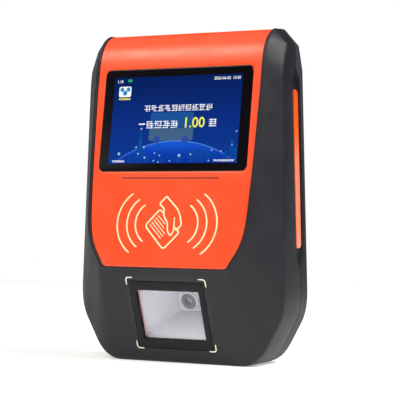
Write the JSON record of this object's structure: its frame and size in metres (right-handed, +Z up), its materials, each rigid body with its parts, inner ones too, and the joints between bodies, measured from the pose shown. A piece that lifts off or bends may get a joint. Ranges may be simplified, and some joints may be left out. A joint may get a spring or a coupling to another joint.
{
  "type": "bus fare validator",
  "caption": "Wall or pole mounted electronic bus fare box with a screen, a contactless card zone, a code scanner in its chin and a lit bar in each side.",
  "frame": {"origin": "middle of the box's footprint, on the surface it stands on", "axes": "+Z up, the screen and the scanner face -Y, +X is to the right of a rider who stands in front"},
  "size_m": [0.1692, 0.065, 0.2418],
  "materials": {
    "black_plastic": "fine moulded grain, satin",
    "orange_plastic": "fine speckled paint, satin",
    "cover_glass": "polished, black border printed on the inside",
    "black_rubber": "dull",
    "screen": "liquid crystal display, lit",
    "sheet_steel": "plain sheet",
    "circuit_board": "green solder mask",
    "ferrite_sheet": "dull grey sheet",
    "scanner_bezel": "smooth black",
    "clear_window": "clear, polished",
    "white_plastic": "matt white reflector",
    "lens_black": "ringed lens barrel",
    "lens_glass": "coated lens",
    "light_guide": "translucent, smooth",
    "light_board": "white solder mask",
    "connector_plastic": "dull black",
    "ceramic": "unglazed ceramic",
    "speaker_metal": "black lacquer",
    "speaker_paper": "pressed paper",
    "battery_wrap": "shrink wrap",
    "terminal_green": "dull green",
    "card_white": "white card",
    "card_gold": "gold contact plate",
    "button_red": "smooth red",
    "lock_metal": "plated",
    "screw_steel": "plated screws"
  },
  "bodies": {
    "housing": {"front_housing": "black_plastic", "rear_housing": "black_plastic", "front_panel": "orange_plastic", "display_glass": "cover_glass", "display_gasket": "black_rubber", "lcd_panel": "screen", "lcd_tray": "sheet_steel", "card_antenna": "circuit_board", "antenna_ferrite": "ferrite_sheet", "scanner_frame": "scanner_bezel", "scanner_window": "clear_window", "scanner_reflector": "white_plastic", "scanner_collar": "white_plastic", "scanner_lens_barrel": "lens_black", "scanner_lens": "lens_glass", "scanner_board": "circuit_board", "scanner_cradle": "connector_plastic", "light_bar_left": "light_guide", "light_bar_right": "light_guide", "light_board_left": "light_board", "light_board_right": "light_board", "chassis_plate": "sheet_steel", "main_board": "circuit_board", "processor_shield": "sheet_steel", "cellular_module": "sheet_steel", "power_converter": "connector_plastic", "display_connector": "connector_plastic", "cellular_antenna": "circuit_board", "positioning_antenna": "ceramic", "speaker_basket": "speaker_metal", "speaker_cone": "speaker_paper", "battery_holder": "connector_plastic", "backup_battery": "battery_wrap", "connection_board": "circuit_board", "power_terminal": "terminal_green", "serial_port": "sheet_steel", "network_card_socket": "sheet_steel", "network_card": "card_white", "security_card_socket_1": "connector_plastic", "security_card_1": "card_gold", "security_card_socket_2": "connector_plastic", "security_card_2": "card_gold", "reset_switch": "connector_plastic", "door_seal": "black_rubber", "housing_gasket": "black_rubber", "door_hinge_pin": "sheet_steel", "cable_grommet": "black_rubber", "housing_screw_1": "screw_steel", "housing_screw_2": "screw_steel", "housing_screw_3": "screw_steel", "housing_screw_4": "screw_steel"},
    "door": {"service_door": "black_plastic"},
    "lock": {"door_lock_plug": "lock_metal", "door_lock_cam": "lock_metal"},
    "bracket": {"mount_bracket": "sheet_steel"},
    "reset": {"reset_button": "button_red"}
  },
  "joints": [
    {"name": "door_hinge", "type": "hinge", "parent": "housing", "child": "door", "pos_m": [-0.0536, 0.03, 0.094], "axis": [0, 0, 1], "range_deg": [0, 95]},
    {"name": "door_lock", "type": "hinge", "parent": "door", "child": "lock", "pos_m": [0.0416, 0.0285, 0.094], "axis": [0, 1, 0], "range_deg": [0, 90]},
    {"name": "bracket_slide", "type": "slide", "parent": "housing", "child": "bracket", "axis": [0, 0, -1], "range_m": [0, 0.012]},
    {"name": "reset_press", "type": "slide", "parent": "housing", "child": "reset", "axis": [0, -1, 0], "range_m": [0, 0.001], "stiffness_N_per_m": 800, "springref_m": -0.0008}
  ]
}
